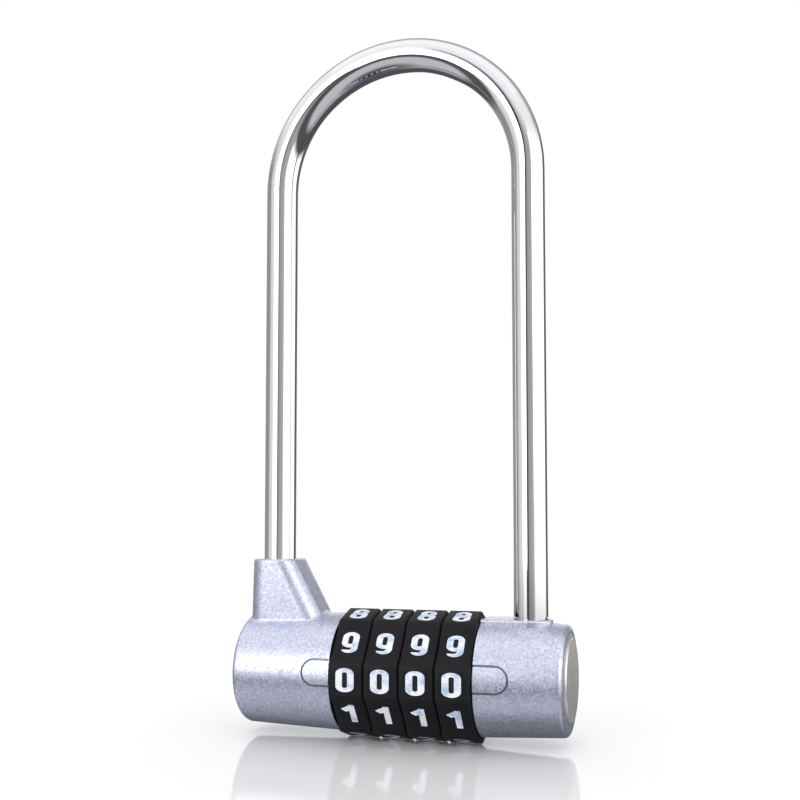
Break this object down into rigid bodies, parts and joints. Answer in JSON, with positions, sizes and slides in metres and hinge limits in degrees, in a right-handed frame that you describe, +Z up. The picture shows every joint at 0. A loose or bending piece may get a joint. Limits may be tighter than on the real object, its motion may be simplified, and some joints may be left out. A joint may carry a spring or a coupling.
{
  "type": "combination padlock",
  "caption": "Long-shackle combination padlock with a round painted body, turret for the long leg and black number dials.",
  "frame": {"origin": "on the ground under the body's axis, midway between the body's two ends", "axes": "+X along the body from the long leg to the short leg, +Y to the back, away from the opening code, +Z up along the legs"},
  "size_m": [0.0591, 0.0216, 0.1269],
  "materials": {
    "chrome_rod": "polished",
    "silver_paint": "satin metallic",
    "nickel": "satin",
    "zinc": "die-cast zinc",
    "steel": "machined",
    "spring_steel": "drawn",
    "black_plastic": "satin",
    "numeral_paint": "satin",
    "brass": "machined"
  },
  "bodies": {
    "lock_body": {"left_casing": "silver_paint", "right_casing": "silver_paint", "end_cap": "nickel", "core": "zinc", "heel_pin": "steel", "left_core_pin": "steel", "right_core_pin": "steel", "left_washer": "steel", "right_washer": "steel", "detent_spring": "spring_steel", "spindle_spring": "spring_steel"},
    "shackle_body": {"shackle": "chrome_rod"},
    "spindle_body": {"spindle": "steel"},
    "dial_1_body": {"dial_1": "black_plastic", "clutch_1": "brass"},
    "dial_2_body": {"dial_2": "black_plastic", "clutch_2": "brass"},
    "dial_3_body": {"dial_3": "black_plastic", "clutch_3": "brass"},
    "dial_4_body": {"dial_4": "black_plastic", "clutch_4": "brass"}
  },
  "joints": [
    {"name": "shackle_lift", "type": "slide", "parent": "lock_body", "child": "shackle_body", "axis": [0, 0, 1], "range_m": [0, 0.02]},
    {"name": "spindle_slide", "type": "slide", "parent": "lock_body", "child": "spindle_body", "axis": [-1, 0, 0], "range_m": [0, 0.0032], "deforming": ["spindle_spring"]},
    {"name": "dial_1_spin", "type": "hinge", "parent": "lock_body", "child": "dial_1_body", "pos_m": [-0.00747, 0, 0.01138], "axis": [1, 0, 0], "continuous": true, "deforming": ["detent_spring"]},
    {"name": "dial_2_spin", "type": "hinge", "parent": "lock_body", "child": "dial_2_body", "pos_m": [-0.00122, 0, 0.01138], "axis": [1, 0, 0], "continuous": true, "deforming": ["detent_spring"]},
    {"name": "dial_3_spin", "type": "hinge", "parent": "lock_body", "child": "dial_3_body", "pos_m": [0.00502, 0, 0.01138], "axis": [1, 0, 0], "continuous": true, "deforming": ["detent_spring"]},
    {"name": "dial_4_spin", "type": "hinge", "parent": "lock_body", "child": "dial_4_body", "pos_m": [0.01128, 0, 0.01138], "axis": [1, 0, 0], "continuous": true, "deforming": ["detent_spring"]}
  ],
  "couplings": [
    {"joint": "spindle_slide", "follows": "shackle_lift", "ratio": 0.16}
  ]
}
